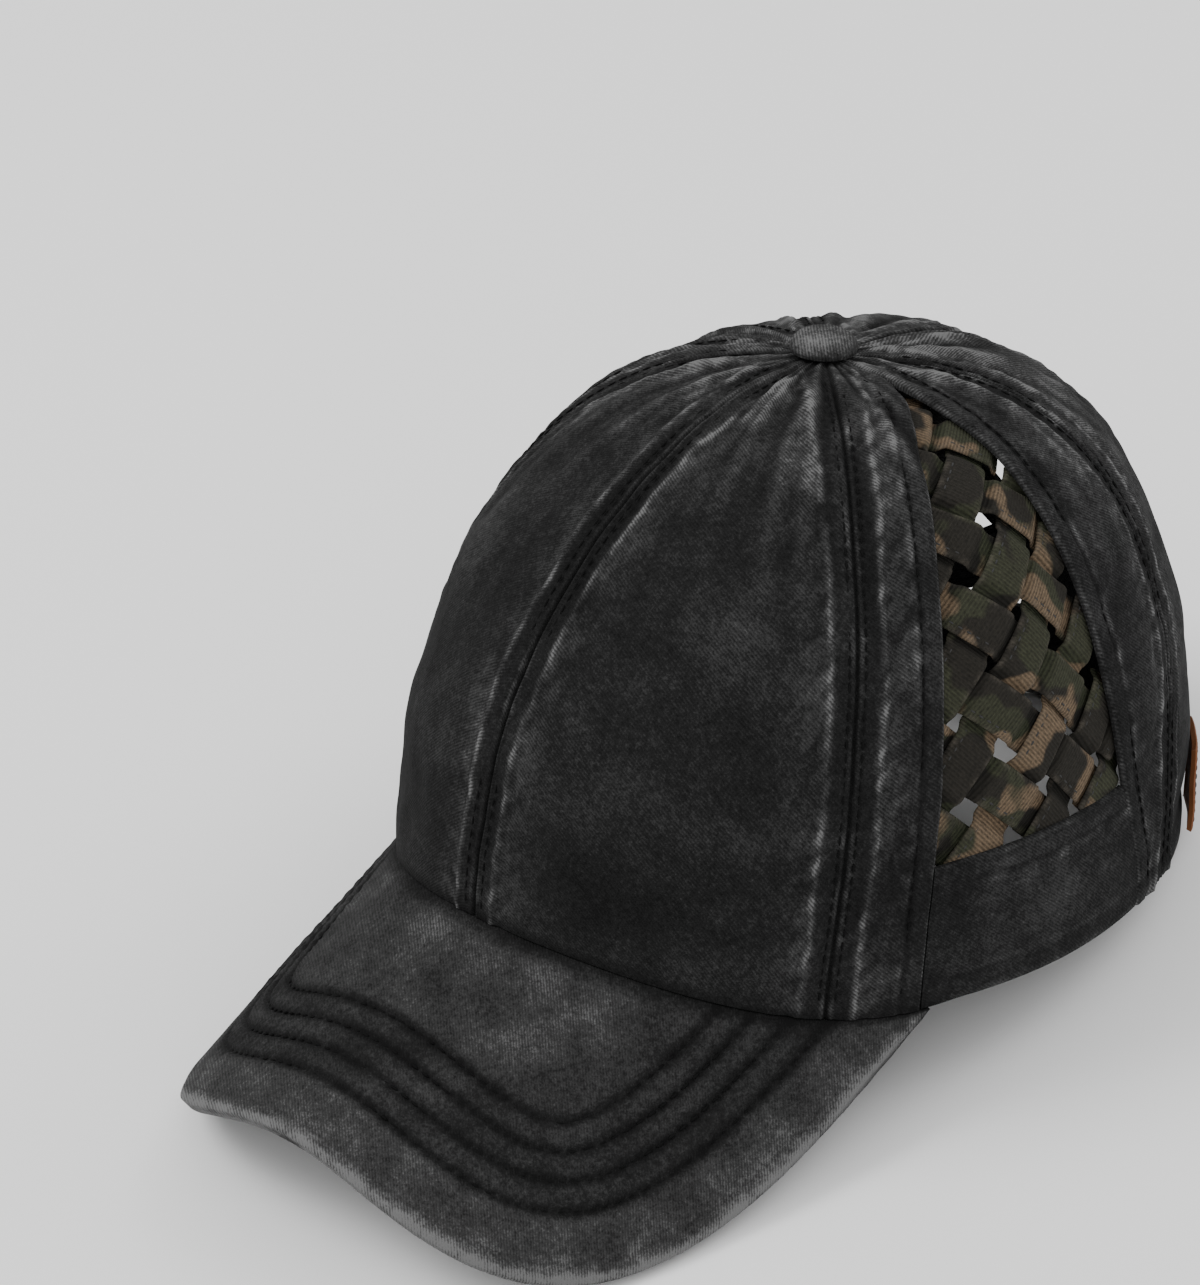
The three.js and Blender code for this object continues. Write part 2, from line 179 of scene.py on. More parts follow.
def upAtHeight(turn, height):
    share = np.clip(height / (crown["height"] - rimHeight(turn)), 0, 1)
    return np.arcsin(share ** (roundnessAt(turn) / 2)) / halfPi


def upAtHole(turn):
    x, y = planRim(turn)
    share = crown["holeRadius"] / np.hypot(x, y - crown["setback"])
    return np.arccos(share ** (roundnessAt(turn) / 2)) / halfPi


cosTilt, sinTilt = math.cos(rest["tilt"]), math.sin(rest["tilt"])
lay, shift = np.array([[1, 0, 0], [0, cosTilt, sinTilt], [0, -sinTilt, cosTilt]]), [0, rest["y"], rest["z"]]


def toFloor(points):
    laid = points @ lay.T + shift
    laid[..., 2] = np.maximum(laid[..., 2], rest["least"])
    return laid * 0.001


# Soft wandering values over points in millimetres, the same on every run.
def wander(points, size, seed):
    draw = np.random.RandomState(seed)
    total = np.zeros(points.shape[:-1])
    for _ in range(wandering["waves"]):
        direction = draw.normal(size=3)
        direction *= draw.uniform(wandering["least"], wandering["most"]) / np.linalg.norm(direction)
        total += np.sin(points @ direction * (math.tau / size) + draw.uniform(0, math.tau))
    return total / wandering["calm"]


def addObject(name, data):
    piece = bpy.data.objects.new(name, data)
    bpy.context.collection.objects.link(piece)
    return piece


def meshFrom(bm, name):
    mesh = bpy.data.meshes.new(name)
    bm.to_mesh(mesh)
    bm.free()
    return mesh


def pointsOf(mesh):
    spots = np.empty(len(mesh.vertices) * 3)
    mesh.vertices.foreach_get("co", spots)
    return spots.reshape(-1, 3)


def movePoints(mesh, spots):
    mesh.vertices.foreach_set("co", spots.astype(np.float32).ravel())
    mesh.update()


# Gives a mesh the cloth's own map, in metres, and how worn each point is, with painted shade added where parts meet
# or pass under each other.
def markCloth(mesh, wear, cloth):
    layer = mesh.attributes.new("wear", "FLOAT", "POINT")
    layer.data.foreach_set("value", np.broadcast_to(wear, len(mesh.vertices)).astype(np.float32).copy())
    corners = np.empty(len(mesh.loops), dtype=np.int32)
    mesh.loops.foreach_get("vertex_index", corners)
    uv = mesh.uv_layers.new(name="cloth")
    uv.data.foreach_set("uv", cloth[corners].astype(np.float32).ravel())


# Turns a flat bmesh grid into a curved sheet: u runs across, v along, both 0 to 1. place gives the outer
# points in millimetres, and its second result the wear and painted shade, the cloth's own map and, if set,
# the inner points.
def clothSheet(name, columns, rows, place, wall):
    bm = bmesh.new()
    bmesh.ops.create_grid(bm, x_segments=columns, y_segments=rows, size=0.5)
    mesh = meshFrom(bm, name)
    flat = pointsOf(mesh)
    points, values = place(flat[:, 0] + 0.5, flat[:, 1] + 0.5)
    movePoints(mesh, toFloor(points))
    markCloth(mesh, values["wear"], values["cloth"] * 0.001)
    area = sum(face.area for face in mesh.polygons)
    piece = addObject(name, mesh)
    solid = piece.modifiers.new("wall", "SOLIDIFY")
    solid.thickness, solid.offset, solid.use_rim = wall * 0.001, -1, True
    settle(piece, values.get("inner"))
    return piece, area


# Applies the modifiers, moves the wall's inner points to their own place and keeps its corners hard.
def settle(piece, inner=None, angle=55):
    graph = bpy.context.evaluated_depsgraph_get()
    done = bpy.data.meshes.new_from_object(piece.evaluated_get(graph))
    old, name = piece.data, piece.name
    piece.modifiers.clear()
    piece.data = done
    bpy.data.meshes.remove(old)
    done.name = name
    if inner is not None:
        spots = pointsOf(done)
        spots[len(inner):] = toFloor(inner)
        movePoints(done, spots)
    done.polygons.foreach_set("use_smooth", np.ones(len(done.polygons), dtype=bool))
    done.set_sharp_from_angle(angle=math.radians(angle))


def mirror(piece, name):
    twin = addObject(name, piece.data.copy())
    bm = bmesh.new()
    bm.from_mesh(twin.data)
    bmesh.ops.scale(bm, vec=(-1, 1, 1), verts=bm.verts)
    bmesh.ops.reverse_faces(bm, faces=bm.faces)
    bm.to_mesh(twin.data)
    bm.free()
    twin.data.name = name
    return twin


def finishPiece(piece, material, slotName, *nodes):
    piece.data.materials.clear()
    piece.data.materials.append(materials[material])
    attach(piece, "root")
    if nodes:
        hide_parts(*nodes)


# A whole sheet: its mesh and its finish in place of a node.
def sewnSheet(name, columns, rows, place, wall, material, slotName, node):
    piece, area = clothSheet(name, columns, rows, place, wall)
    finishPiece(piece, material, slotName, node)


# Finishes a left-hand cloth and its mirror image, each in place of its own node.
def bothSides(piece, name, material, slotName):
    for side in ("left", "right"):
        if side == "right":
            piece = mirror(piece, f"{name}_cloth_right")
        finishPiece(piece, material, slotName, f"{name}_{side}")
        yield piece


# Shader maths: a Wire is one output socket, and Python's operators add Math nodes.
class Wire:
    def __init__(self, tree, socket):
        self.tree, self.socket = tree, socket

    def join(self, operation, *values):
        node = self.tree.nodes.new("ShaderNodeMath")
        node.operation = operation
        for socket, value in zip(node.inputs, values):
            if isinstance(value, Wire):
                self.tree.links.new(value.socket, socket)
            else:
                socket.default_value = value
        return Wire(self.tree, node.outputs[0])

    def __add__(self, other):
        return self.join("ADD", self, other)

    __radd__ = __add__

    def __sub__(self, other):
        return self.join("SUBTRACT", self, other)

    def __rsub__(self, other):
        return self.join("SUBTRACT", other, self)

    def __mul__(self, other):
        return self.join("MULTIPLY", self, other)

    __rmul__ = __mul__

    def sine(self):
        return self.join("SINE", self)

    def clip(self):
        return self.join("MINIMUM", self.join("MAXIMUM", self, 0.0), 1.0)


class Finish:
    def __init__(self, name, roughness=0.9, gloss=0.08):
        self.material = bpy.data.materials.new(name)
        self.material.use_nodes = True
        self.tree = self.material.node_tree
        self.shader = self.tree.nodes["Principled BSDF"]
        self.shader.inputs["Roughness"].default_value = roughness
        self.shader.inputs["Specular IOR Level"].default_value = gloss

    def node(self, kind, settings=None, inputs=None, output=0):
        node = self.tree.nodes.new(kind)
        for key, value in (settings or {}).items():
            if key == "stops":
                ramp = node.color_ramp.elements
                ramp.remove(ramp[-1])
                ramp[0].position, ramp[0].color = value[0]
                for position, shade in value[1:]:
                    ramp.new(position).color = shade
            else:
                setattr(node, key, value)
        for key, value in (inputs or {}).items():
            if isinstance(value, Wire):
                self.tree.links.new(value.socket, node.inputs[key])
            else:
                node.inputs[key].default_value = value
        return Wire(self.tree, node.outputs[output])

    def value(self, name):
        return self.node("ShaderNodeAttribute", {"attribute_name": name}, output="Fac")

    def cloth(self):
        return self.node("ShaderNodeUVMap", {"uv_map": "cloth"})

    def place(self):
        return self.node("ShaderNodeTexCoord", output="Object")

    def split(self, vector, axis):
        return self.node("ShaderNodeSeparateXYZ", inputs={0: vector}, output=axis)

    def noise(self, vector, scale, detail=3.0, roughness=0.55):
        inputs = {"Vector": vector, "Scale": scale, "Detail": detail, "Roughness": roughness}
        return self.node("ShaderNodeTexNoise", inputs=inputs)

    def blend(self, share, first, second, mode="MIX"):
        settings = {"data_type": "RGBA", "blend_type": mode, "clamp_factor": True}
        return self.node("ShaderNodeMix", settings, {0: share, 6: first, 7: second}, output=2)

    def bump(self, height, strength, distance):
        inputs = {"Height": height, "Strength": strength, "Distance": distance}
        return self.node("ShaderNodeBump", inputs=inputs)

    def feed(self, socket, wire):
        self.tree.links.new(wire.socket, self.shader.inputs[socket])


def grey(level):
    return (level, level, level, 1)


# Washed cotton twill: dark where it was protected, pale where the wash wore it off the ridges, and darker with
# painted shade where the crown meets the visor.
twill = {
    "pitch": 0.00105, "slant": 1.15, "broad": 26.0, "patches": 95.0, "fibres": 850.0, "fine": 2300.0,
    "shades": {0.0: 0.0062, 0.27: 0.0128, 0.6: 0.037, 1.0: 0.125}, "bump": 0.55, "relief": 0.00025,
}


def washedTwill(name, base, patchy=1.0, weave=1.0):
    finish = Finish(name, 0.95, 0.06)
    uv, place = finish.cloth(), finish.place()
    across, along = finish.split(uv, 0), finish.split(uv, 1)
    wear = finish.value("wear")
    broad = finish.noise(place, twill["broad"], 4.0)
    patches = finish.noise(place, twill["patches"], 6.0, 0.7)
    fibres = finish.noise(place, twill["fibres"], 3.0, 0.75)
    fine = finish.noise(place, twill["fine"], 2.0, 0.7)
    lines = (across + along * twill["slant"]) * (math.tau / twill["pitch"])
    wave = (lines + fibres * 5.0).sine() * 0.5 + 0.5
    # worn follows the mesh's wear values, which also hold painted shade where the crown meets the visor
    worn = (wear * (patches * 1.7 - 0.05) * (wave * 0.5 + 0.7) + (patches - 0.5) * 0.6 * patchy
            + (broad - 0.5) * 0.45 * patchy + (fibres - 0.5) * 0.8 + (fine - 0.5) * 0.6
            + (wave - 0.5) * 0.09 * weave + base)
    stops = [(level, grey(shade)) for level, shade in twill["shades"].items()]
    finish.feed("Base Color", finish.node("ShaderNodeValToRGB", {"stops": stops}, {0: worn.clip()}))
    finish.feed("Roughness", 0.98 - wave * 0.08)
    relief = wave * 0.5 * weave + fibres * 1.1 + fine * 0.7
    finish.feed("Normal", finish.bump(relief, twill["bump"], twill["relief"]))
    return finish.material


camouflage = {
    "charcoal": (0.0135, 0.0125, 0.0108), "olive": (0.032, 0.036, 0.021), "tan": (0.150, 0.106, 0.067),
    "shade": (0.006, 0.006, 0.005), "frayed": (0.12, 0.105, 0.085), "ribPitch": 0.00085, "fibres": 1500.0,
    "tanSize": 48.0, "tanFrom": 0.545, "oliveSize": 55.0, "oliveFrom": 0.47,
}


def ribbedCamouflage(name):
    finish = Finish(name, 0.9, 0.1)
    colour = {key: (*camouflage[key], 1) for key in ("charcoal", "olive", "tan", "shade", "frayed")}
    uv, place = finish.cloth(), finish.place()
    along, across = finish.split(uv, 1), finish.split(uv, 0)
    bend = finish.noise(place, 60.0, 2.0)
    tan = ((finish.noise(uv, camouflage["tanSize"], 2.5, 0.5) - camouflage["tanFrom"]) * 34.0).clip()
    olive = ((finish.noise(place, camouflage["oliveSize"], 2.5, 0.5) - camouflage["oliveFrom"]) * 30.0).clip()
    lines = (along + across * 0.12) * (math.tau / camouflage["ribPitch"])
    ribs = (lines + bend * 3.0).sine() * 0.5 + 0.5
    fibres = finish.noise(place, camouflage["fibres"], 3.0, 0.7)
    base = finish.blend(tan, finish.blend(olive, colour["charcoal"], colour["olive"]), colour["tan"])
    # painted shade in the grooves between ribs, mixed with the cloth's own uneven fibre tone, blends toward the
    # shade colour
    unshaded = (0.42 + ribs * 0.4 + (fibres - 0.5) * 1.5).clip()
    base = finish.blend(1.0 - unshaded, base, colour["shade"])
    # the frayed tint follows the mesh's wear values, which on the straps also hold painted shade at the crossings
    worn = ((finish.value("wear") * (fibres * 1.6 - 0.2)) * 0.45).clip()
    finish.feed("Base Color", finish.blend(worn, base, colour["frayed"]))
    finish.feed("Normal", finish.bump(ribs * 0.8 + fibres * 0.5, 0.65, 0.0003))
    return finish.material


webbing = {"cordPitch": 0.0007, "weftPitch": 0.00055, "fibres": 1500.0, "dark": 0.007, "pale": 0.028}


def elasticWebbing(name):
    finish = Finish(name, 0.85, 0.1)
    uv = finish.cloth()
    cords = (finish.split(uv, 0) * (math.tau / webbing["cordPitch"])).sine() * 0.5 + 0.5
    weft = (finish.split(uv, 1) * (math.tau / webbing["weftPitch"])).sine() * 0.5 + 0.5
    fibres = finish.noise(finish.place(), webbing["fibres"], 3.0, 0.7)
    level = (weft * cords * 0.35 + (fibres - 0.3) * 1.1).clip()
    finish.feed("Base Color", finish.blend(level, grey(webbing["dark"]), grey(webbing["pale"])))
    finish.feed("Normal", finish.bump(cords * 0.4 + weft * cords * 0.6 + fibres, 0.5, 0.0002))
    return finish.material


def plainCotton(name, low, high, scale=1400.0, depth=0.0002, roughness=0.95):
    finish = Finish(name, roughness, 0.05)
    place = finish.place()
    fibres, patches = finish.noise(place, scale, 4.0, 0.7), finish.noise(place, 90.0, 3.0)
    level = (fibres * 0.7 + patches * 0.5 - 0.15).clip()
    finish.feed("Base Color", finish.blend(level, grey(low), grey(high)))
    finish.feed("Normal", finish.bump(fibres, 0.7, depth))
    return finish.material


leather = {"dark": (0.085, 0.029, 0.011, 1), "pale": (0.2, 0.078, 0.032, 1), "grain": 1300.0, "fine": 1500.0}


def brownLeather(name):
    finish = Finish(name, 0.62)
    place = finish.place()
    cells = {"Vector": place, "Scale": leather["grain"]}
    grain = finish.node("ShaderNodeTexVoronoi", {"feature": "DISTANCE_TO_EDGE"}, cells)
    clouds, fine = finish.noise(place, 160.0, 4.0), finish.noise(place, leather["fine"], 3.0)
    worn = (finish.value("wear") * 0.8 + clouds * 0.7 - 0.2).clip()
    finish.feed("Base Color", finish.blend(worn, leather["dark"], leather["pale"]))
    finish.feed("Roughness", 0.5 + fine * 0.25)
    finish.feed("Normal", finish.bump((grain * 9.0).clip() + fine * 0.5, 0.35, 0.0001))
    return finish.material


materials = {
    "crown": washedTwill("washed_twill", 0.25),
    "visor": washedTwill("visor_twill", 0.42, 0.45),
    "button": washedTwill("button_twill", 0.27, 0.9, 0.4),
    "woven": ribbedCamouflage("woven_camouflage"),
    "elastic": elasticWebbing("elastic_webbing"),
    "lining": plainCotton("sweatband_cotton", 0.004, 0.016),
    "tape": plainCotton("loop_pile", 0.003, 0.022, 2200.0, 0.0005, 1.0),
    "leather": brownLeather("tag_leather"),
    "darkThread": plainCotton("dark_thread", 0.003, 0.009, 3000.0, 0.0001, 0.95),
    "paleThread": plainCotton("pale_thread", 0.022, 0.06, 3000.0, 0.0001, 0.85),
    "brownThread": plainCotton("brown_thread", 0.06, 0.11, 3000.0, 0.0001, 0.8),
}
print("materials ready")


# A row of stitches along a path of points, each lying flat on its normal. Lengths in millimetres.
def stitchRow(name, path, normals, material, slotName, long=2.3, gap=0.9, wide=0.42, sink=0.12):
    path, normals = np.asarray(path), np.asarray(normals)
    lengths = lengthsAlong(path)

    def at(table, length):
        return np.array([np.interp(length, lengths, table[:, axis]) for axis in range(3)])

    bm = bmesh.new()
    size = Matrix.Diagonal((wide * 0.001, long * 0.00052, wide * 0.0008, 1))
    for start in np.arange(gap, lengths[-1] - long, long + gap):
        begin = at(path, start)
        first, last = Vector(toFloor(begin)), Vector(toFloor(at(path, start + long)))
        lifted = Vector(toFloor(begin + at(normals, start + long / 2))) - first
        along = (last - first).normalized()
        upward = (lifted - along * lifted.dot(along)).normalized()
        middle = (first + last) / 2 - upward * sink * 0.001
        turn = Matrix((along.cross(upward), along, upward)).transposed().to_4x4()
        bmesh.ops.create_uvsphere(bm, u_segments=6, v_segments=4, radius=1.0,
                                  matrix=Matrix.Translation(middle) @ turn @ size)
    mesh = meshFrom(bm, name)
    mesh.polygons.foreach_set("use_smooth", np.ones(len(mesh.polygons), dtype=bool))
    piece = addObject(name, mesh)
    finishPiece(piece, material, slotName)
    return piece


def pairOfRows(name, path, normals, material, slotName, *sizes):
    piece = stitchRow(f"{name}_left", path, normals, material, slotName, *sizes)
    finishPiece(mirror(piece, f"{name}_right"), material, slotName)


# Crown panels. Each side edge is a seam, a window's fold or the slit's fold.
seam = {
    "groove": 0.95, "grooveWidth": 0.5, "stitch": 1.8, "sunk": 0.2, "band": 5.0, "puff": 0.22, "gather": 5.6,
    "ridge": 6.0, "height": 0.5, "dip": 0.25, "ripple": 0.12, "worn": 0.5, "faded": 0.2, "rubbed": 0.55,
    "kept": 0.15, "dark": 0.35,
}
fold = {
    "round": 1.2, "roll": 0.9, "stitch": 5.2, "sunk": 0.28, "puff": 0.16, "gather": 5.2, "ridge": 6.3,
    "height": 0.3, "ripple": 0.1, "worn": 0.42, "extra": 0.3, "rubbed": 0.34, "faded": 0.16, "dark": 0.25,
    "slitPale": 0.13,
}
hem = {"stitch": 5.5, "sunk": 0.22, "ridge": 6.6, "height": 0.16, "round": 1.2, "roll": 0.6}
wrinkle = {"broad": 0.75, "small": 0.16, "fan": 0.6, "streak": 0.3, "rays": 19}
fading = {"fan": 0.22, "streak": 0.2, "broad": 0.1, "top": 0.17, "rear": 0.12, "rearPatches": 0.05}
panelGrid = {"steps": 300, "gather": 0.74, "calm": 26.0, "edge": 16.0}


# How high the cloth stands and how worn it is, by its distance from a seam.
def seamProfile(away, along, flat):
    drift = wander(flat, 23, 71)
    bunch = bunched(along, seam["gather"], 2.2 * drift)
    inBand = smooth(away - 0.5) * (1 - smooth((away - seam["band"] + 0.6) / 1.4))
    ridgeAt = away - seam["ridge"] - 0.35 * drift
    height = (-seam["groove"] * hump(away, seam["grooveWidth"]) + seam["puff"] * inBand * bunch
              - seam["sunk"] * hump(away - seam["stitch"], 0.45)
              + seam["height"] * hump(ridgeAt, 1.1) * (0.8 + 0.3 * bunch)
              - seam["dip"] * hump(ridgeAt - 2.4, 1.2)
              + seam["ripple"] * wander(flat, 8, 73) * hump(away - 8, 6))
    patch = np.clip(wander(flat, 17, 74), 0, 1)
    speck = np.clip(0.55 + 0.5 * wander(flat, 4.5, 75), 0, 1.2)
    wear = (seam["worn"] * hump(ridgeAt, 0.75) * (0.35 + 0.75 * speck)
            + seam["faded"] * hump(away - 8.5, 4.5) * speck
            + seam["rubbed"] * hump(away - 1.1, 0.7) * patch * (0.4 + 0.6 * bunch)
            - seam["kept"] * inBand * (1 - 0.6 * patch) - seam["dark"] * hump(away, 0.5))
    return height, wear


# The same by its distance from a folded edge. pale is 1 on the slit, whose edge is worn most.
def foldProfile(away, along, flat, pale=0.0):
    drift = wander(flat, 19, 76)
    bunch = bunched(along, fold["gather"], 2.4 * drift)
    speck = np.clip(0.5 + 0.5 * wander(flat, 5, 77), 0, 1.2)
    height = (-fold["roll"] * rolled(away, fold["round"])
              + fold["puff"] * smooth(away / 2) * (1 - smooth((away - 4) / 2)) * bunch
              - fold["sunk"] * hump(away - fold["stitch"], 0.5)
              + fold["height"] * hump(away - fold["ridge"] - 0.3 * drift, 1.0) * bunch
              + fold["ripple"] * wander(flat, 8, 78) * hump(away - 6, 6))
    edge = (fold["worn"] + fold["extra"] * pale) * hump(away - 0.35, 0.4 + 0.2 * pale)
    wear = (edge * (0.5 + 0.6 * speck) + fold["rubbed"] * hump(away - fold["ridge"], 1.0) * speck
            + fold["faded"] * hump(away - 8, 5) * speck - fold["dark"] * hump(away - fold["stitch"], 0.7)
            + fold["slitPale"] * pale * smooth(away) * (1 - smooth(away - 3.6)) * (0.4 + bunch))
    return height, wear


# kinds names the panel's two side edges: a seam, a fold, or the slit's fold with a seam above it. The lower
# band has none of these, and a folded top.
def crownPanel(name, columns, rows, fromTurn, toTurn, topUp, kinds, lift, meets):
    ups = np.linspace(0, 1, panelGrid["steps"])
    midTurn = (fromTurn(np.array(0.3)) + toTurn(np.array(0.3))) / 2
    lengths = lengthsAlong(crownPoint(np.full(len(ups), float(midTurn)), ups))

    def place(u, v):
        up = v * topUp((fromTurn(v) + toTurn(v)) / 2)
        low, high = fromTurn(up), toTurn(up)
        margin = meets / np.maximum(spreadAt((low + high) / 2, up), 1e-6)
        turn = mix(low + margin, high - margin, gathered(u, panelGrid["gather"]))
        spread = spreadAt(turn, up)
        flat, along = crownPoint(turn, up), np.interp(up, ups, lengths)
        height, wear = lift + np.zeros_like(u), np.zeros_like(u)
        calm = np.clip(spread / panelGrid["calm"], 0, 1)
        slitOpen = smooth((slit["top"] + 0.005 - up) / 0.015)
        for kind, away in zip(kinds, ((turn - low) * spread, (high - turn) * spread)):
            opened = {"seam": 0, "fold": 1, "slit": slitOpen}[kind]
            sewn = seamProfile(away, along, flat)
            folded = foldProfile(away, along, flat, float(kind == "slit"))
            rise, pale = mix(sewn[0], folded[0], opened), mix(sewn[1], folded[1], opened)
            height, wear = height + rise * calm, wear + pale * (0.4 + 0.6 * calm)
        rimAway, beside = flat[:, 2] - rimHeight(turn), smooth((np.abs(turn) - visorEndTurn) / 0.08)
        height += beside * (hem["height"] * hump(rimAway - hem["ridge"], 1.0)
                            - hem["sunk"] * hump(rimAway - hem["stitch"], 0.5)
                            - hem["roll"] * rolled(rimAway, hem["round"]))
        wear += beside * (0.14 * hump(rimAway - hem["ridge"], 0.9) + 0.22 * hump(rimAway, 0.8)
                          - 0.15 * hump(rimAway - hem["stitch"], 0.6))
        # painted shade: darker along the crown's bottom edge where it meets the visor
        wear -= (1 - beside) * 0.3 * hump(rimAway, 1.6)
        if not kinds:
            topAway = band["height"] - rimAway
            rise, pale = foldProfile(topAway, turn * 80, flat)
            height, wear = height + rise, wear + pale * 0.8 + 0.12 * hump(topAway - 4, 2.5)
        middle = smooth(np.minimum(turn - low, high - turn) * spread / panelGrid["edge"])
        settled = smooth(rimAway / 8) * beside + smooth(rimAway / 14) * (1 - beside)
        broad = wander(flat, 46, 5) * (0.3 + 0.7 * middle) * settled
        height += wrinkle["broad"] * broad + wrinkle["small"] * wander(flat, 13, 9) * settled
        # gathers and worn streaks fan out from the button
        fan = np.sin(turn * wrinkle["rays"] + 1.4 * wander(flat, 30, 13)) * smooth((up - 0.7) / 0.22) * calm
        streak = wander(flatMap(turn * 60, up * 13), 8.5, 12) * smooth((up - 0.25) / 0.45)
        height += wrinkle["fan"] * fan + wrinkle["streak"] * streak * calm
        rearward = smooth((np.abs(turn) - 1.6) / 0.9)
        wear += fading["fan"] * np.clip(fan, -0.5, 1) + fading["broad"] * broad
        wear += (fading["streak"] + 0.06 * rearward) * streak * (0.35 + 0.65 * up)
        wear += fading["top"] * smooth((up - 0.55) / 0.4)
        wear += (fading["rear"] + fading["rearPatches"] * wander(flat, 15, 14)) * rearward
        cloth = np.stack([(turn - (low + high) / 2) * spread, along], -1)
        inner = onCrown(turn, up, np.minimum(lift + 0.5 * broad, 0.1) - crown["wall"])
        return onCrown(turn, up, height), {"wear": wear, "cloth": cloth, "inner": inner}

    return clothSheet(name, columns, rows, place, crown["wall"])


# flat is the share of its rectangle that the cut panel fills, and the cut panel's length in metres.
def pairOfPanels(name, columns, rows, fromTurn, toTurn, topUp, kinds, flat, lift=0.0, meets=-0.03):
    first, area = crownPanel(f"{name}_cloth_left", columns, rows, fromTurn, toTurn, topUp, kinds, lift, meets)
    for piece in bothSides(first, name, "crown", "washed_twill"):
        area / flat[0] / flat[1]
    print(name, "done, width", round(area / flat[0] / flat[1], 3))


side, back = (lambda up: turnAt(sideSeam, up)), (lambda up: turnAt(backSeam, up))
foldFront, foldBack = (lambda up: turnAt(windowFront, up)), (lambda up: turnAt(windowBack, up))
centre = lambda up: np.zeros_like(up)
slitSide = lambda up: math.pi - slitHalfTurn(up)
band = {"height": 33.0, "gap": 0.1, "lower": -0.5}
pairOfPanels("front_panel", 100, 160, centre, side, upAtHole, ("seam", "seam"), (0.72, 0.15))
pairOfPanels("front_side_strip", 46, 160, side, foldFront, upAtHole, ("seam", "fold"), (0.8, 0.16))
pairOfPanels("rear_side_strip", 48, 160, foldBack, back, upAtHole, ("fold", "seam"), (0.8, 0.16))
pairOfPanels("back_panel", 88, 160, back, slitSide, upAtHole, ("seam", "slit"), (0.72, 0.16))
bandTop = lambda turn: upAtHeight(turn, band["height"])
pairOfPanels("lower_side_band", 60, 36, foldFront, foldBack, bandTop, (), (0.95, 0.034),
             band["lower"], band["gap"])


# Topstitching along a line of the crown, a set distance from it.
def crownRow(name, turnOf, ups, offset, out):
    turn = turnOf(ups) + offset / np.maximum(spreadAt(turnOf(ups), ups), 2)
    path, normals = onCrown(turn, ups, np.full_like(ups, out)), crownNormal(turn, ups)
    pairOfRows(f"{name}_stitches", path, normals, "darkThread", "washed_twill", 2.2, 0.8, 0.28, 0.06)


seamUps, slitUps = np.linspace(0.01, 0.93, 260), np.linspace(0.19, 0.76, 160)
for name, turnOf, sign in (("centre_seam", centre, 1), ("side_seam_front", side, -1),
                           ("side_seam_rear", side, 1), ("back_seam_front", back, -1), ("back_seam_rear", back, 1)):
    crownRow(name, turnOf, seamUps, sign * seam["stitch"], 0.12)
for name, turnOf, sign, ups in (("window_front", foldFront, -1, seamUps), ("window_back", foldBack, 1, seamUps),
                                ("slit_edge", slitSide, -1, slitUps)):
    crownRow(name, turnOf, ups, sign * fold["stitch"], -0.12)
print("topstitching done")

# Visor: a top and an under cover, with stitch rows that follow the outer edge.
visorFace = {
    "rows": [15.5, 22.0, 28.5, 35.0], "groove": 0.7, "puff": 0.34, "round": 2.2, "edgeStitch": 4.0,
    "layer": 0.55, "body": 0.95, "gather": 4.4, "rim": 0.75, "steps": (401, 90), "hidden": 0.985,
}


def visorOutline(side):
    angle = side * halfPi
    edgeX = visor["halfWidth"] * power(np.sin(angle), 2 / visor["squareness"])
    endY = crown["halfLength"] * visor["endShare"] + visor["endDepth"]
    reach = crown["halfLength"] + visor["length"] - endY
    return edgeX, -endY - reach * np.abs(np.cos(angle)) ** (2 / visor["squareness"])


def visorPoint(side, root, depth):
    edgeX, edgeY = visorOutline(side)
    rimX, rimY = planRim(side * visorEndTurn)
    along, under = np.minimum(root, 1), np.maximum(root - 1, 0)
    x, y = mix(edgeX, rimX, along), mix(edgeY, rimY, along)
    z = visorHeight(x, y) - visor["gap"]
    lean = 2 * visor["camber"] * x / visor["halfWidth"] ** 2
    normal = unit(np.stack([lean, np.full_like(x, -visor["slope"]), np.ones_like(x)], -1))
    inward = crownNormal(side * visorEndTurn, np.zeros_like(side))
    inward[..., 2] = 0
    out = -normal * np.asarray(depth)[..., None] - unit(inward) * under[..., None]
    return np.stack([x, y, z], -1) + out, normal


visorEdge, _ = visorPoint(np.linspace(-1, 1, 500), np.zeros(500), np.zeros(500))
edgeLengths = lengthsAlong(visorEdge)


# How far points lie from the visor's outer edge, and how far along that edge.
def edgeDistance(points, batch=4000):
    away, along = np.empty(len(points)), np.empty(len(points))
    for start in range(0, len(points), batch):
        part = slice(start, start + batch)
        gaps = np.linalg.norm(points[part, None] - visorEdge, axis=-1)
        away[part], along[part] = gaps.min(1), edgeLengths[gaps.argmin(1)]
    return away, along


# The last rows turn in under the crown's wall.
def visorShares(u, v):
    side, body = np.clip((u - 0.5) * 2, -1, 1), np.clip(v / visorFace["body"], 0, 1)
    lip = np.clip((v - visorFace["body"]) / (1 - visorFace["body"]), 0, 1)
    return side, 1 - (1 - body) ** 0.85 + lip * crown["wall"]


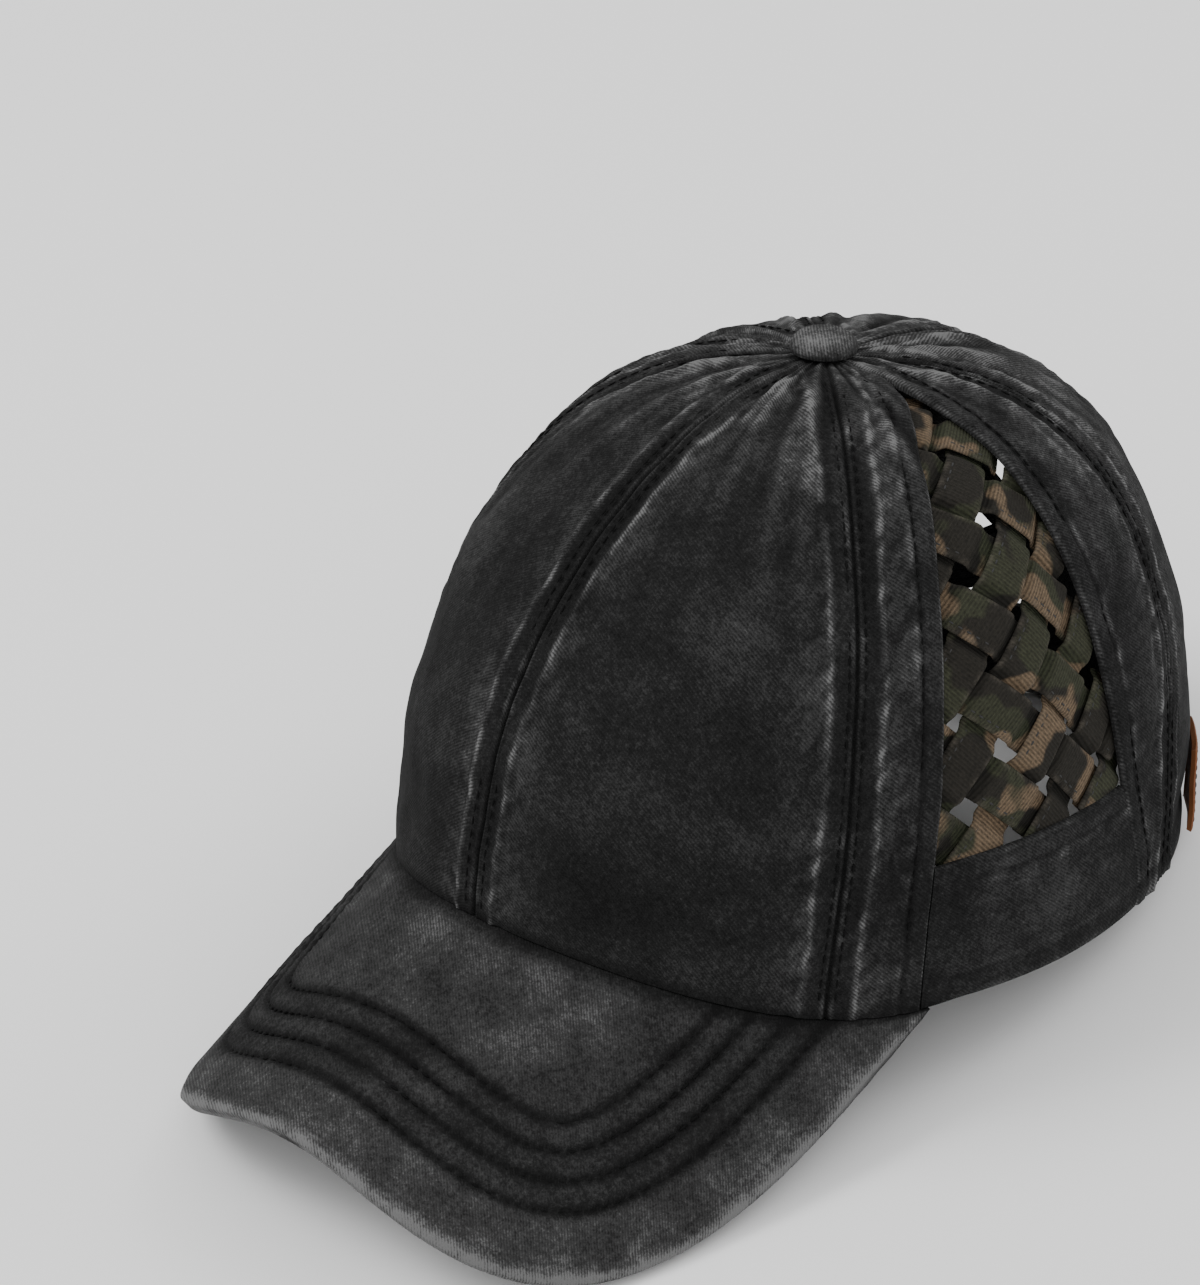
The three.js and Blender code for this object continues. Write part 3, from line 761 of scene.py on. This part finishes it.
def visorTop(u, v):
    side, root = visorShares(u, v)
    flat, _ = visorPoint(side, root, np.zeros_like(u))
    away, along = edgeDistance(flat)
    calm = smooth((1 - root) * 6)
    drift = wander(flat, 26, 26)
    bunch = bunched(along, visorFace["gather"], 2.2 * drift)
    height = -visorFace["layer"] * 1.6 * rolled(away, visorFace["round"])
    wear = 0.08 * wander(flat, 21, 23) + 0.04 * wander(flat, 7, 24)
    for row in visorFace["rows"]:
        gap = away - row - 0.12 * drift
        height -= visorFace["groove"] * hump(gap, 0.9) * (0.65 + 0.6 * bunch) * calm
        height += visorFace["puff"] * hump(np.abs(gap) - 2.0, 1.3) * (bunch - 0.4) * calm
        wear += 0.07 * hump(np.abs(gap) - 2.6, 0.9) * bunch - 0.45 * hump(gap, 1.1) * (0.6 + 0.5 * bunch)
    first, last = visorFace["rows"][0], visorFace["rows"][-1]
    inRows = smooth((away - first + 3) / 3) * (1 - smooth((away - last) / 4))
    height -= 0.25 * hump(away - visorFace["edgeStitch"], 0.5) * calm
    height += (0.28 * wander(flat, 34, 21) * smooth(away / 14) + 0.08 * wander(flat, 9, 22)) * calm
    speck = np.clip(0.6 + 0.45 * wander(flat, 4, 27), 0, 1.2)
    wear += visorFace["rim"] * hump(away - 0.7, 1.1) * (0.75 + 0.25 * speck) + 0.25 * hump(away - 2.5, 3.4)
    wear += 0.12 * smooth((away - 38) / 16) + 0.1 * hump(away - 9, 5) - 0.16 * inRows
    # painted shade: darker towards the root, where the visor meets the crown's wall; a little darker along the edge
    # stitch row too
    wear -= 0.4 * smooth(1 - (1 - root) * 14) + 0.1 * hump(away - visorFace["edgeStitch"], 0.6)
    points, _ = visorPoint(side, root, -height)
    inner, _ = visorPoint(side, root, np.full_like(u, visor["wall"] - 0.1))
    return points, {"wear": wear, "cloth": flat[:, :2] * (1, 1.18), "inner": inner}


# The under cover faces down, so its grid runs the other way round.
def visorUnder(u, v):
    side, root = visorShares(1 - u, v)
    flat, _ = visorPoint(side, root, np.zeros_like(u))
    away, _ = edgeDistance(flat)
    under = 2 * visor["wall"] + 0.1 - 0.5 * rolled(away, 1.8)
    for row in visorFace["rows"]:
        under -= 0.4 * hump(away - row, 0.7)
    wear = 0.75 * hump(away, 1.1) + 0.1 * wander(flat, 22, 25)
    points, _ = visorPoint(side, root, under)
    inner, _ = visorPoint(side, root, np.full_like(u, visor["wall"] + 0.05))
    return points, {"wear": wear, "cloth": flat[:, :2] * (1, 1.18), "inner": inner}


sewnSheet("visor_top_cloth", 200, 92, visorTop, visor["wall"], "visor", "visor_twill", "visor_top_cover")
sewnSheet("visor_under_cloth", 160, 60, visorUnder, visor["wall"], "visor", "visor_twill", "visor_under_cover")

sideSteps, rootSteps = visorFace["steps"]
rowSides, rowRoots = np.meshgrid(np.linspace(-1, 1, sideSteps), np.linspace(0, 1, rootSteps), indexing="ij")
rowPoints, _ = visorPoint(rowSides.ravel(), rowRoots.ravel(), np.zeros(rowSides.size))
rowAway = edgeDistance(rowPoints)[0].reshape(rowSides.shape)


# The points at one distance from the edge, where the visor is deep enough to have them.
def visorRow(away):
    deep = [index for index, column in enumerate(rowAway) if column.max() > away and column.argmax() > 3]
    roots = np.array([np.interp(away, np.maximum.accumulate(rowAway[index]), rowRoots[0]) for index in deep])
    keep = roots < visorFace["hidden"]
    return visorPoint(rowSides[deep, 0][keep], roots[keep], np.zeros(keep.sum()))


for number, away in enumerate(visorFace["rows"]):
    path, normals = visorRow(away)
    stitchRow(f"visor_stitches_{number + 1}", path - normals * (visorFace["groove"] - 0.1), normals,
              "darkThread", "visor_twill", wide=0.36)
print("visor done")

# Button: a cloth dome over a round shell.
button = {
    "radius": 7.8, "height": 4.6, "squareness": 0.55, "seat": crown["height"] + 0.06, "skirt": 0.9,
    "pinch": 0.35, "puff": 0.12, "ripple": 0.05, "most": 0.2, "worn": 0.62, "least": 0.05, "fade": 90,
}
bm = bmesh.new()
bmesh.ops.create_uvsphere(bm, u_segments=96, v_segments=64, radius=1.0)
for vertex in bm.verts:
    flat, level = math.hypot(vertex.co.x, vertex.co.y), vertex.co.z
    turn = math.atan2(vertex.co.y, vertex.co.x)
    puff = (button["puff"] * math.sin(turn * 3 + 1) + button["ripple"] * math.sin(turn * 7)) * flat
    height = max(level, 0) * (button["height"] + puff) + button["skirt"] * (1 + min(level, 0))
    height = min(height, button["height"] + button["most"])
    outward = button["radius"] * min(flat, 1) ** button["squareness"]
    outward -= button["pinch"] * math.exp(-((height - button["skirt"]) / 0.4) ** 2)
    spot = np.array([math.cos(turn) * outward, crown["setback"] + math.sin(turn) * outward,
                     button["seat"] + height])
    vertex.co = Vector(toFloor(spot))
buttonMesh = meshFrom(bm, "button_cloth")
buttonPiece = addObject("button_cloth", buttonMesh)
spots = pointsOf(buttonMesh)
wear = button["worn"] - (spots[:, 2].max() - spots[:, 2]) * button["fade"]
markCloth(buttonMesh, np.clip(wear, button["least"], button["worn"]), spots[:, :2])
settle(buttonPiece, None, 70)
finishPiece(buttonPiece, "button", "button_twill", "button")
print("button done")

# Woven side panels: folded straps crossing on the diagonals.
weave = {
    "width": 11.2, "folded": 10.5, "pitch": 14.4, "thickness": 1.0, "tuck": 4.0, "bulge": 2.2,
    "turn": math.radians(86.0), "shortest": 12.0, "windowTopUp": 0.88, "lift": 0.95, "base": -3.7, "edge": 1.3,
    "crown": 5.6, "stitch": 3.6, "swing": 1.12, "square": 1.7, "shift": 1.3, "lean": 1.2, "gather": 0.6,
}
meridianUps = np.linspace(0, 0.98, 600)
meridianLengths = lengthsAlong(crownPoint(np.full(600, weave["turn"]), meridianUps))


def upAtLength(length):
    return np.interp(length, meridianLengths, meridianUps)


def lengthAtUp(up):
    return float(np.interp(up, meridianUps, meridianLengths))


windowBottom = lengthAtUp(float(upAtHeight(np.array(weave["turn"]), band["height"])))
windowTop = lengthAtUp(weave["windowTopUp"])
weaveOrigin = windowBottom * math.sqrt(0.5)


def windowEdges(length):
    up = upAtLength(length)
    spread = spreadAt(np.full_like(up, weave["turn"]), up)
    return (foldFront(up) - weave["turn"]) * spread, (foldBack(up) - weave["turn"]) * spread


def strapFlat(rising, fixed, along, sideways):
    rise, fall = (along, fixed - sideways) if rising else (fixed + sideways, along)
    return (rise - fall) * math.sqrt(0.5), (rise + fall) * math.sqrt(0.5)


def wovenPoint(across, length, out):
    up = upAtLength(length)
    front, rear = windowEdges(length)
    wide = np.maximum(rear - front, 0.01)
    sideways = 2 * (across - front) / wide - 1
    upwards = 2 * (length - windowBottom) / (windowTop - windowBottom) - 1
    pillow = np.maximum(1 - sideways ** 2, 0) ** 2 * np.maximum(1 - upwards ** 2, 0) ** 2
    turn = weave["turn"] + across / spreadAt(np.full_like(up, weave["turn"]), up)
    return onCrown(turn, up, out + weave["bulge"] * pillow)


def strapSpan(rising, fixed):
    along = np.arange(-windowTop / 2, windowTop * 1.5, 0.5)
    across, length = strapFlat(rising, fixed, along, 0)
    front, rear = windowEdges(length)
    inside = ((length > windowBottom - weave["tuck"]) & (length < windowTop)
              & (across > front - weave["tuck"]) & (across < rear + weave["tuck"]))
    return (along[inside][0], along[inside][-1]) if inside.any() else (0, 0)


# A strap's wave, from -1 to 1 with flat tops. Times its parity, it is 1 where the strap passes over the others.
def strapWave(along):
    steep = 1 / math.cos(math.pi * weave["width"] / 2 / weave["pitch"])
    wave = steep * np.cos(math.pi * (along - weaveOrigin) / weave["pitch"])
    wave = np.clip(wave, -weave["swing"], weave["swing"])
    return np.tanh(wave * weave["square"]) / math.tanh(weave["square"] * weave["swing"])


def wovenStrap(name, rising, number):
    fixed = weaveOrigin + number * weave["pitch"]
    start, stop = strapSpan(rising, fixed)
    parity = (1 if number % 2 == 0 else -1) * (1 if rising else -1)
    seed = number * 7 + (3 if rising else 40)
    draw = random.Random(seed + 100)
    shift, lean = (draw.uniform(-weave[key], weave[key]) for key in ("shift", "lean"))

    def place(u, v):
        along = mix(start, stop, v)
        sideways = (gathered(u, weave["gather"]) - 0.5) * weave["folded"]
        wave = strapWave(along)
        away = weave["folded"] / 2 - np.abs(sideways)
        height = -0.6 * rolled(away, weave["edge"]) + 0.2 * (1 - (sideways / weave["crown"]) ** 2)
        height -= 0.2 * hump(sideways + weave["stitch"], 0.45)
        # a soft crease beside every crossing, where the strap dips under its neighbour
        height += 0.1 * np.sin(along / 2.7 + seed) * hump(away, 2.2)
        across, length = strapFlat(rising, fixed, along, sideways + shift + lean * (v - 0.5))
        level = weave["base"] + parity * weave["lift"] * wave
        points = wovenPoint(across, length, level + 0.5 + height)
        inner = wovenPoint(across, length, level - 0.5 - 0.3 * height)
        frayed = 0.5 + 0.5 * np.sin(along * 1.3 + seed)
        # paler on the edges, which fray, and painted shade: darker where the strap dips under its neighbours, paler
        # where it passes over
        wear = 0.8 * hump(away - 0.35, 0.55) * frayed + 0.12 * (wave * parity + 1)
        cloth = np.stack([sideways + number * 41 + (700 if rising else 0), along + number * 17], -1)
        return points, {"wear": wear, "cloth": cloth, "inner": inner}

    rows = max(24, int((stop - start) * 1.7))
    first, area = clothSheet(f"{name}_cloth_left", 18, rows, place, weave["thickness"])
    for piece in bothSides(first, name, "woven", "woven_camouflage"):
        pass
    along = np.arange(start + 1, stop - 1, 0.5)
    wave = strapWave(along)
    out = weave["base"] + parity * weave["lift"] * wave + 0.5
    threadAt = shift + lean * ((along - start) / (stop - start) - 0.5) - weave["stitch"]
    across, length = strapFlat(rising, fixed, along, threadAt)
    path = wovenPoint(across, length, out - 0.1)
    above = wovenPoint(across, length, out + 0.9)
    # the thread shows where the strap isn't under its neighbours
    parts = np.split(np.arange(len(along)), np.where(np.diff(wave * parity > -0.35))[0] + 1)
    shown = [part for part in parts if (wave * parity)[part].min() > -0.36 and len(part) > 6]
    for count, part in enumerate(shown):
        pairOfRows(f"{name}_dashes_{count + 1}", path[part], (above - path)[part], "paleThread",
                   "woven_camouflage", 1.5, 0.8, 0.26, 0.0)


for rising in (True, False):
    count = 0
    for number in range(-8, 13):
        start, stop = strapSpan(rising, weaveOrigin + number * weave["pitch"])
        if stop - start <= weave["shortest"]:
            continue
        count += 1
        wovenStrap(f"woven_strap_{'rising' if rising else 'falling'}_{count}", rising, number)
    print("woven straps", "rising" if rising else "falling", count)

# Elastic straps cross behind the slit.
elastic = {
    "width": 12.5, "thickness": 1.0, "tuck": 5.0, "bow": 1.2, "ease": 0.5, "gap": 0.4,
    "straps": {
        "upper_over": (.6, .356, 0), "upper_under": (.374, .58, 1),
        "lower_over": (.308, .098, 0), "lower_under": (.088, .306, 1),
    },
}
inside = {"wall": 1.6, "gap": 0.4, "puckers": 0.7}
insideCrown = -sum(inside.values())


def elasticStrap(name, left, right, layer):
    step = elastic["thickness"] + elastic["gap"]
    depth = insideCrown - elastic["ease"] - elastic["thickness"] / 2 - layer * step

    def end(up, sign):
        up = np.array(up)
        turn = math.pi - sign * (slitHalfTurn(up) + elastic["tuck"] / spreadAt(np.array(math.pi), up))
        return onCrown(turn, up, np.array(depth))

    first, last = end(left, 1), end(right, -1)
    along = unit(last - first)
    out = crownNormal(np.array(math.pi), np.array((left + right) / 2))
    across = unit(-np.cross(along, out))
    face = np.cross(along, across)
    face *= np.sign(face @ out)
    bow = elastic["bow"] * (1 if layer == 0 else -1)
    long = float(np.linalg.norm(last - first))

    def place(u, v):
        away = (0.5 - np.abs(u - 0.5)) * elastic["width"]
        height = 0.5 * elastic["thickness"] - 0.3 * rolled(away, 0.8)
        height += bow * np.sin(math.pi * v) - 0.22 * hump(away - 1.5, 0.3) + 0.05 * hump(away - 0.9, 0.4)
        wobble = 0.22 * np.sin(v * long / 3.1) * np.where(u > 0.5, 1, -1) * hump(away, 1.2)
        sideways = (u - 0.5) * elastic["width"] + wobble
        points = first + (last - first) * v[:, None] + across * sideways[:, None] + face * height[:, None]
        cloth = np.stack([u * elastic["width"], v * long], -1)
        return points, {"wear": np.zeros_like(u), "cloth": cloth}

    sewnSheet(f"elastic_{name}_webbing", 70, 50, place, elastic["thickness"] - 0.05, "elastic", "elastic",
              f"elastic_strap_{name}")


for name, (left, right, layer) in elastic["straps"].items():
    elasticStrap(name, left, right, layer)
print("elastic done")

# Closure strap, loop tape and sweatband.
closure = {
    "height": 21.0, "tapeRise": 3.0, "tapeHeight": 23.0, "tapeThickness": 1.2, "tuck": 12.0, "tapeEnd": 7.0,
    "end": 0.5, "cloth": 1.6, "gap": 0.4, "border": 2.6, "roll": 0.55, "sunk": 0.32, "sag": 0.35, "worn": 0.55,
}
rimSpread = float(spreadAt(np.array(math.pi), np.array(0.0)))
tapeUnder = insideCrown - elastic["ease"] - elastic["thickness"] - 2 * elastic["bow"] - 2 * closure["gap"]
leftEdge, rightEdge = slitSide, (lambda up: math.pi + slitHalfTurn(up))


def closureOut(turn, up):
    return mix(insideCrown, 0, smooth((turn - leftEdge(up)) * rimSpread / (2 * closure["tuck"])))


def rearUp(height):
    return upAtHeight(np.full_like(height, math.pi), height)


def closurePlace(u, v):
    level = gathered(v, 0.5) * closure["height"]
    up = rearUp(level)
    low, high = leftEdge(up) - closure["tuck"] / rimSpread, rightEdge(up) - closure["end"] / rimSpread
    turn = mix(low, high, gathered(u, 0.5))
    away = np.minimum(np.minimum(level, closure["height"] - level), (high - turn) * rimSpread)
    along = turn * rimSpread
    flat, border = flatMap(along, level), away - closure["border"]
    bunch = np.sin(along / 1.1 + level / 1.3) * 0.5 + 0.5
    height = (-closure["roll"] * rolled(away, 1.3) - closure["sunk"] * hump(border, 0.5)
              + 0.16 * hump(away - 1.4, 0.7) + 0.1 * (bunch - 0.5) * hump(border, 1.8)
              + closure["sag"] * wander(flat, 22, 31) * smooth(away / 6))
    wear = (closure["worn"] * hump(away - 0.6, 0.9) * (0.4 + 0.6 * bunch) + 0.25 * hump(border - 1.5, 0.9)
            - 0.3 * hump(border, 0.5) + 0.22 + 0.2 * wander(flat, 17, 33))
    points = onCrown(turn, upAtHeight(turn, level), closureOut(turn, up) + height)
    return points, {"wear": wear, "cloth": flat[:, :2]}


sewnSheet("closure_strap_cloth", 170, 66, closurePlace, closure["cloth"], "crown", "washed_twill",
          "closure_strap")


def tapeFace(turn, up):
    before = (rightEdge(up) - turn) * rimSpread / (2 * closure["tuck"])
    return mix(tapeUnder, closureOut(turn, up) - closure["cloth"] - closure["gap"], smooth(before))


def tapePlace(u, v):
    level = closure["tapeRise"] + v * closure["tapeHeight"]
    up = rearUp(level)
    turn = mix(leftEdge(up) + closure["tapeEnd"] / rimSpread, rightEdge(up) + closure["tuck"] / rimSpread, u)
    flat = flatMap(turn * rimSpread, level)
    pile = 0.14 * wander(flat, 1.9, 41) + 0.1 * wander(flat, 1.3, 42)
    away = np.minimum(level - closure["tapeRise"], closure["tapeRise"] + closure["tapeHeight"] - level)
    height = np.minimum(pile, 0.25) - 0.4 * rolled(away, 0.9)
    points = onCrown(turn, upAtHeight(turn, level), tapeFace(turn, up) + height)
    return points, {"wear": 0 * u, "cloth": flat[:, :2]}


sewnSheet("closure_tape_pile", 170, 60, tapePlace, closure["tapeThickness"], "tape", "fuzzy_tape",
          "closure_tape")

sweatband = {"height": 23.0, "thickness": 1.2, "rise": 1.0, "end": 1.0, "radius": 88, "cut": 0.025}
bandEnd = math.pi - float(slitHalfTurn(np.array(0.0))) - (closure["tuck"] + sweatband["end"]) / rimSpread


def sweatbandPlace(u, v):
    turn = mix(-bandEnd, bandEnd, u)
    level = sweatband["rise"] + v * sweatband["height"]
    away = np.minimum(level - sweatband["rise"], sweatband["rise"] + sweatband["height"] - level)
    flat = flatMap(turn * sweatband["radius"], level)
    height = -0.35 * rolled(away, 1.2) + 0.16 * wander(flat, 20, 51)
    points = onCrown(turn, upAtHeight(turn, level), insideCrown + height)
    return points, {"wear": 0 * u, "cloth": flat[:, :2]}


sewnSheet("sweatband_cloth", 420, 22, sweatbandPlace, sweatband["thickness"], "lining", "lining", "sweatband")
print("closure and sweatband done")

# Leather tag on the left rear, stitched round its border.
tag = {
    "width": 19.0, "height": 21.0, "thickness": 1.3, "overhang": 1.0, "turn": math.radians(138.5),
    "border": 1.7, "clear": 1.0,
}
tagSpread = float(spreadAt(np.array(tag["turn"]), np.array(0.0)))


# lift, if set, gives points at one height above the face instead of the leather itself.
def tagPlace(u, v, lift=None):
    x, y = (u - 0.5) * tag["width"], (v - 0.5) * tag["height"]
    turn = tag["turn"] + x / tagSpread
    up = upAtHeight(turn, v * (tag["height"] - tag["overhang"]))
    away = np.minimum(tag["width"] / 2 - np.abs(x), tag["height"] / 2 - np.abs(y))
    height = -0.4 * rolled(away, 0.9) - 0.2 * hump(away - tag["border"], 0.4)
    height += 0.08 * wander(flatMap(x, y), 13, 61)
    if lift is not None:
        height = lift + 0 * u
    points = onCrown(turn, up, tag["clear"] + tag["thickness"] + height)
    points[..., 2] -= tag["overhang"] * (1 - v)
    wear = 0.7 * hump(away, 0.8) + 0.25 * hump(away - 3.2, 1.0)
    return points, {"wear": wear, "cloth": np.stack([x, y], -1)}


sewnSheet("leather_tag_face", 64, 70, tagPlace, tag["thickness"] - 0.05, "leather", "leather", "leather_tag")
inX, inY = tag["border"] / tag["width"], tag["border"] / tag["height"]
cornersU = [inX, 1 - inX, 1 - inX, inX, inX]
cornersV = [inY, inY, 1 - inY, 1 - inY, inY]
for number in range(4):
    us = np.linspace(cornersU[number], cornersU[number + 1], 40)
    vs = np.linspace(cornersV[number], cornersV[number + 1], 40)
    path, _ = tagPlace(us, vs, -0.1)
    above, _ = tagPlace(us, vs, 0.9)
    stitchRow(f"tag_stitches_{number + 1}", path, above - path, "brownThread", "leather",
              1.5, 0.7, 0.36, 0.0)
print("tag done")

# Studio: a pale floor, three soft lights, a bright even sky and the photograph's point of view.
studio = {
    "floor": 3.0, "shade": 0.87, "sky": 0.95, "aim": (0, -0.01, 0.06),
    "lights": {
        "key": {"spot": (-0.9, -0.6, 1.5), "size": 0.9, "power": 20},
        "fill": {"spot": (1.5, -1.0, 0.9), "size": 1.4, "power": 10},
        "rear": {"spot": (0.7, 1.2, 1.2), "size": 1.0, "power": 10},
    },
}
bm = bmesh.new()
bmesh.ops.create_grid(bm, x_segments=1, y_segments=1, size=studio["floor"])
floor = addObject("floor", meshFrom(bm, "floor"))
floorFinish = Finish("studio_floor", 0.9)
floorFinish.shader.inputs["Base Color"].default_value = grey(studio["shade"])
floor.data.materials.append(floorFinish.material)
for name, light in studio["lights"].items():
    lamp = bpy.data.lights.new(name, "AREA")
    lamp.energy, lamp.size = light["power"], light["size"]
    holder = addObject(name, lamp)
    holder.location = light["spot"]
    aim = Vector(studio["aim"]) - Vector(light["spot"])
    holder.rotation_euler = aim.to_track_quat("-Z", "Y").to_euler()
world = bpy.data.worlds.new("studio")
bpy.context.scene.world = world
world.use_nodes = True
sky = world.node_tree.nodes["Background"].inputs
sky["Color"].default_value, sky["Strength"].default_value = grey(1), studio["sky"]

view = {
    "turn": 45.29, "rise": 23.58, "roll": 1.5, "distance": 1130.6, "target": (0, -30, 50),
    "lens": 140.8, "shiftX": -0.083, "shiftY": 0.016,
}
turn, rise, roll = (math.radians(view[key]) for key in ("turn", "rise", "roll"))
backward = np.array([math.sin(turn) * math.cos(rise), -math.cos(turn) * math.cos(rise), math.sin(rise)])
rightward = np.array([math.cos(turn), math.sin(turn), 0])
upward = np.cross(backward, rightward)
rightward, upward = (rightward * math.cos(roll) + upward * math.sin(roll),
                     upward * math.cos(roll) - rightward * math.sin(roll))
stand = np.array(view["target"]) + backward * view["distance"]
spot = (lay @ stand + shift) * 0.001
lens = bpy.data.cameras.new("photo_view")
lens.lens, lens.shift_x, lens.shift_y = view["lens"], view["shiftX"], view["shiftY"]
lens.clip_start, lens.clip_end = 0.01, 20
camera = addObject("photo_view", lens)
axes = np.stack([lay @ axis for axis in (rightward, upward, backward)], -1)
camera.matrix_world = Matrix.Translation(spot) @ Matrix([list(row) for row in axes]).to_4x4()
bpy.context.scene.camera = camera
